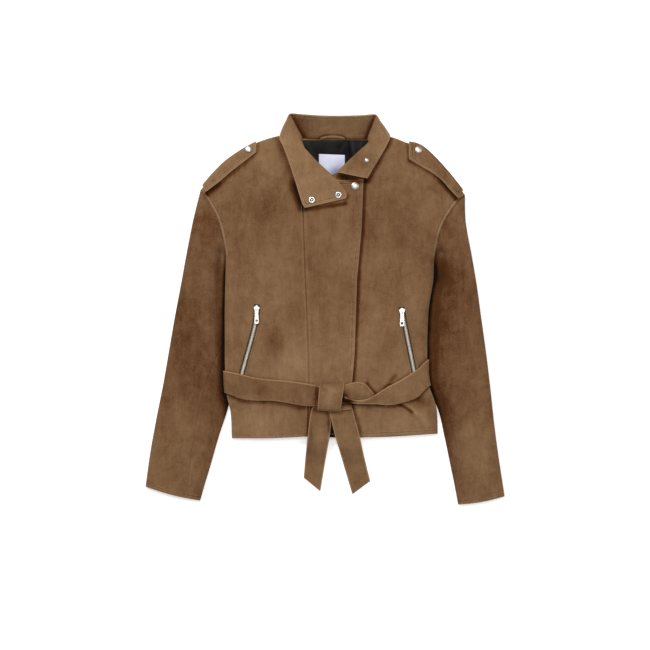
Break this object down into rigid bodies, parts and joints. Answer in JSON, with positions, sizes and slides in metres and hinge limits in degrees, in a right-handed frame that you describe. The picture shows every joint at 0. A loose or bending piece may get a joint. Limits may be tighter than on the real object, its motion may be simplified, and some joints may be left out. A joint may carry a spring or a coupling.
{
  "type": "suede jacket",
  "caption": "Cropped suede jacket laid flat, with an open turned collar, shoulder straps, an overlapping front, zipped pockets and a tied belt.",
  "frame": {"origin": "On the outer face of the back, where the middle of the back lies on the floor.", "axes": "+Y from the hem to the collar, +X towards the wearer's left side, +Z from the back to the front, up from the floor"},
  "size_m": [0.7176, 0.7804, 0.0375],
  "materials": {
    "suede_body": "brown suede, napped, roughness 0.95",
    "suede_sleeves": "darker brown suede, napped, roughness 0.95",
    "suede_collar_and_belt": "lighter brown suede, napped, roughness 0.95",
    "satin_lining": "black satin, roughness 0.4",
    "label_cloth": "plain white woven label, roughness 0.8",
    "polished_steel": "polished bright metal, roughness 0.25"
  },
  "bodies": {
    "jacket": {"back": "suede_body", "front_right": "suede_body", "front_left": "suede_body", "placket": "suede_body", "sleeve_right_upper": "suede_sleeves", "sleeve_right_under": "suede_sleeves", "sleeve_left_upper": "suede_sleeves", "sleeve_left_under": "suede_sleeves", "collar": "suede_collar_and_belt", "epaulette_right": "suede_collar_and_belt", "epaulette_left": "suede_collar_and_belt", "belt": "suede_collar_and_belt", "belt_twist": "suede_collar_and_belt", "belt_knot": "suede_collar_and_belt", "belt_knot_inner": "suede_collar_and_belt", "belt_tail_right": "suede_collar_and_belt", "belt_tail_left": "suede_collar_and_belt", "hanger_loop": "suede_collar_and_belt", "lining": "satin_lining", "label": "label_cloth", "snap_collar_outer": "polished_steel", "snap_collar_inner": "polished_steel", "snap_collar_stud": "polished_steel", "snap_placket": "polished_steel", "snap_epaulette_right": "polished_steel", "snap_epaulette_left": "polished_steel", "zip_right_chain": "polished_steel", "zip_right_slider": "polished_steel", "zip_left_chain": "polished_steel", "zip_left_slider": "polished_steel"},
    "right_pull_tab": {"zip_right_tab": "polished_steel"},
    "left_pull_tab": {"zip_left_tab": "polished_steel"}
  },
  "joints": [
    {"name": "right_pull_tab_turn", "type": "hinge", "parent": "jacket", "child": "right_pull_tab", "pos_m": [-0.1465, -0.017, 0.02815], "axis": [-1, 0, 0], "range_deg": [0, 150]},
    {"name": "left_pull_tab_turn", "type": "hinge", "parent": "jacket", "child": "left_pull_tab", "pos_m": [0.1438, -0.022, 0.02801], "axis": [-1, 0, 0], "range_deg": [0, 150]}
  ]
}
